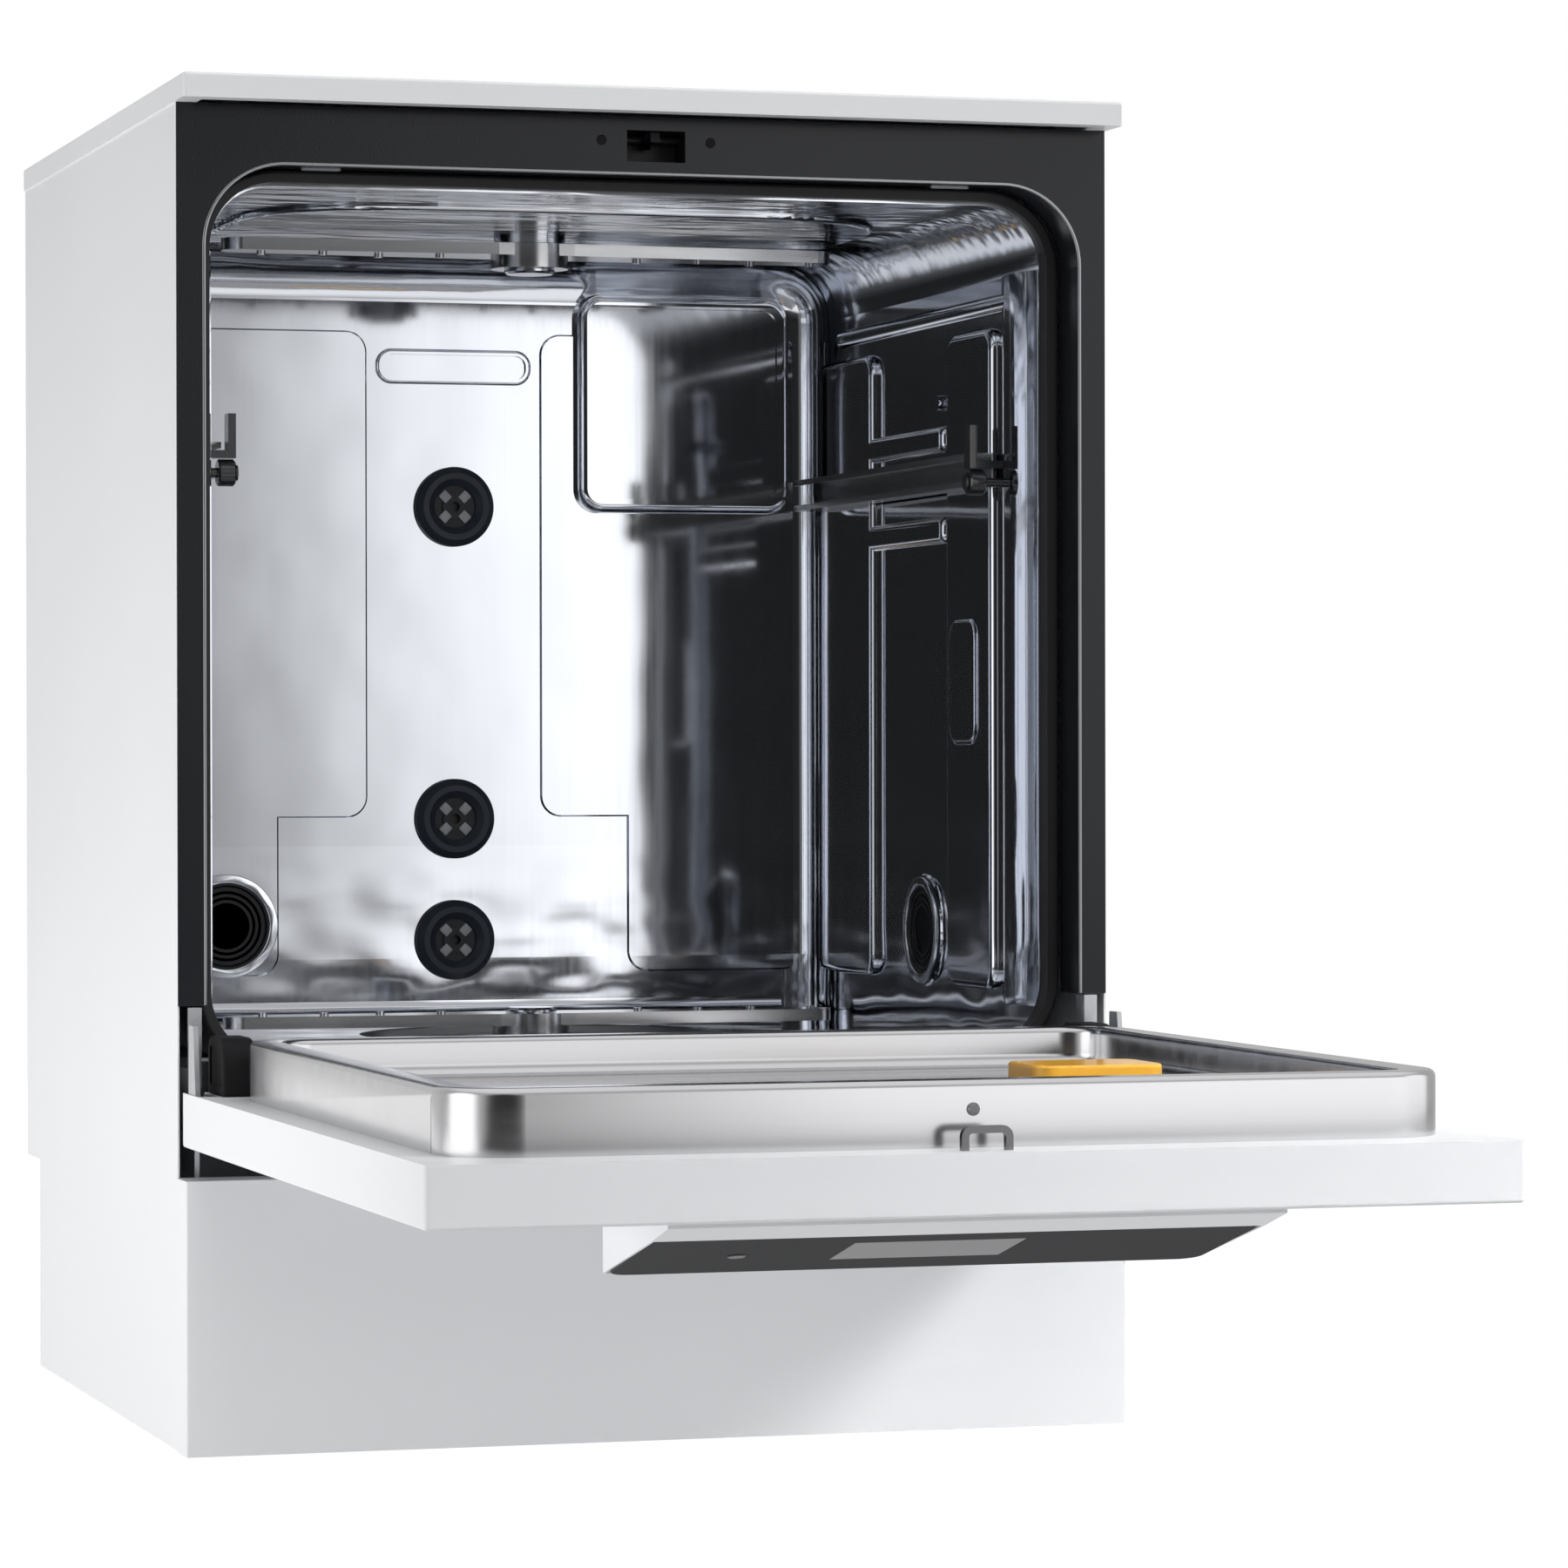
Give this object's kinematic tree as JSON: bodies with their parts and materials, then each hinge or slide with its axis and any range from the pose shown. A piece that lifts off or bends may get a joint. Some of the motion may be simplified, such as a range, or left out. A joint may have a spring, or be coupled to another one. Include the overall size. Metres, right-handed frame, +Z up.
{
  "type": "laboratory dishwasher",
  "caption": "Undercounter laboratory dishwasher with a drop-down door, steel wash chamber, spray arms, water couplings, basket rails and a control handle on the door.",
  "frame": {"origin": "point on the floor under the middle of the cabinet's worktop", "axes": "+Z up, +Y from the front into the depth, +X to the right seen from the front"},
  "size_m": [0.6, 1.2238, 0.835],
  "materials": {
    "white_paint": "satin",
    "dark_paint": "satin",
    "tub_steel": "polished",
    "liner_steel": "brushed",
    "zinc_steel": "galvanised",
    "gasket_rubber": "matte",
    "black_plastic": "matte",
    "grey_plastic": "matte",
    "white_plastic": "matte",
    "lid_plastic": "gloss",
    "dark_glass": "gloss",
    "display_glass": "gloss",
    "cast_housing": "cast"
  },
  "bodies": {
    "cabinet": {"base_frame": "zinc_steel", "side_panel_left": "white_paint", "side_panel_right": "white_paint", "rear_panel": "zinc_steel", "worktop": "white_paint", "plinth": "white_paint", "front_frame": "dark_paint", "door_gasket": "gasket_rubber", "chamber_wrap": "tub_steel", "chamber_back": "tub_steel", "chamber_floor": "tub_steel", "sump": "grey_plastic", "flat_filter": "liner_steel", "heating_element": "liner_steel", "lower_arm_post": "liner_steel", "upper_arm_feed": "liner_steel", "riser_manifold": "grey_plastic", "coupling_upper": "black_plastic", "coupling_middle": "black_plastic", "coupling_lower": "black_plastic", "vent_back": "black_plastic", "vent_side": "black_plastic", "rail_left": "liner_steel", "rail_right": "liner_steel", "catch_left": "black_plastic", "catch_right": "black_plastic", "circulation_pump": "cast_housing", "inlet_valves": "white_plastic", "cable_gland": "black_plastic", "lock_housing": "black_plastic", "hinge_bracket_left": "zinc_steel", "hinge_bracket_right": "zinc_steel", "cabinet_screws": "zinc_steel"},
    "door": {"door_panel": "white_paint", "door_liner": "liner_steel", "control_housing": "white_plastic", "control_glass": "dark_glass", "display_panel": "display_glass", "dispenser_body": "grey_plastic", "striker": "liner_steel", "hinge_arm_left": "zinc_steel", "hinge_arm_right": "zinc_steel", "hinge_cover_left": "black_plastic", "hinge_cover_right": "black_plastic", "door_screws": "zinc_steel"},
    "dispenser_lid": {"dispenser_lid": "lid_plastic"},
    "power_button": {"power_button": "grey_plastic"},
    "latch_hook": {"latch_hook": "zinc_steel"},
    "lower_spray_arm": {"lower_spray_arm": "liner_steel"},
    "upper_spray_arm": {"upper_spray_arm": "liner_steel"},
    "roller_left": {"roller_left": "black_plastic"},
    "roller_right": {"roller_right": "black_plastic"},
    "valve_upper": {"valve_upper": "grey_plastic"},
    "valve_middle": {"valve_middle": "grey_plastic"},
    "valve_lower": {"valve_lower": "grey_plastic"},
    "fine_filter": {"fine_filter": "grey_plastic"},
    "foot_front_left": {"foot_front_left": "black_plastic"},
    "foot_front_right": {"foot_front_right": "black_plastic"},
    "foot_rear_left": {"foot_rear_left": "black_plastic"},
    "foot_rear_right": {"foot_rear_right": "black_plastic"}
  },
  "joints": [
    {"name": "door_hinge", "type": "hinge", "parent": "cabinet", "child": "door", "pos_m": [0, -0.2975, 0.1935], "axis": [-1, 0, 0], "range_deg": [0, 90]},
    {"name": "dispenser_lid_hinge", "type": "hinge", "parent": "door", "child": "dispenser_lid", "pos_m": [0.16, -0.581, 0.237], "axis": [-1, 0, 0], "range_deg": [0, 100]},
    {"name": "power_button_press", "type": "slide", "parent": "door", "child": "power_button", "axis": [0, 0.258, 0.9662], "range_m": [0, 0.0012], "stiffness_N_per_m": 800, "springref_m": -0.0005},
    {"name": "latch_turn", "type": "hinge", "parent": "cabinet", "child": "latch_hook", "pos_m": [0.003, -0.2425, 0.808], "axis": [1, 0, 0], "range_deg": [0, 20]},
    {"name": "lower_arm_spin", "type": "hinge", "parent": "cabinet", "child": "lower_spray_arm", "pos_m": [0, 0.04, 0.243], "axis": [0, 0, 1], "continuous": true},
    {"name": "upper_arm_spin", "type": "hinge", "parent": "cabinet", "child": "upper_spray_arm", "pos_m": [0, 0.04, 0.7585], "axis": [0, 0, 1], "continuous": true},
    {"name": "roller_left_spin", "type": "hinge", "parent": "cabinet", "child": "roller_left", "pos_m": [-0.2475, -0.163, 0.601], "axis": [1, 0, 0], "continuous": true},
    {"name": "roller_right_spin", "type": "hinge", "parent": "cabinet", "child": "roller_right", "pos_m": [0.2475, -0.163, 0.601], "axis": [1, 0, 0], "continuous": true},
    {"name": "fine_filter_lift", "type": "slide", "parent": "cabinet", "child": "fine_filter", "axis": [0, 0, 1], "range_m": [0, 0.12]},
    {"name": "valve_upper_push", "type": "slide", "parent": "cabinet", "child": "valve_upper", "axis": [0, 1, 0], "range_m": [0, 0.004], "stiffness_N_per_m": 400, "springref_m": -0.002},
    {"name": "valve_middle_push", "type": "slide", "parent": "cabinet", "child": "valve_middle", "axis": [0, 1, 0], "range_m": [0, 0.004], "stiffness_N_per_m": 400, "springref_m": -0.002},
    {"name": "valve_lower_push", "type": "slide", "parent": "cabinet", "child": "valve_lower", "axis": [0, 1, 0], "range_m": [0, 0.004], "stiffness_N_per_m": 400, "springref_m": -0.002},
    {"name": "foot_front_left_adjust", "type": "slide", "parent": "cabinet", "child": "foot_front_left", "axis": [0, 0, -1], "range_m": [0, 0.015]},
    {"name": "foot_front_right_adjust", "type": "slide", "parent": "cabinet", "child": "foot_front_right", "axis": [0, 0, -1], "range_m": [0, 0.015]},
    {"name": "foot_rear_left_adjust", "type": "slide", "parent": "cabinet", "child": "foot_rear_left", "axis": [0, 0, -1], "range_m": [0, 0.015]},
    {"name": "foot_rear_right_adjust", "type": "slide", "parent": "cabinet", "child": "foot_rear_right", "axis": [0, 0, -1], "range_m": [0, 0.015]}
  ]
}
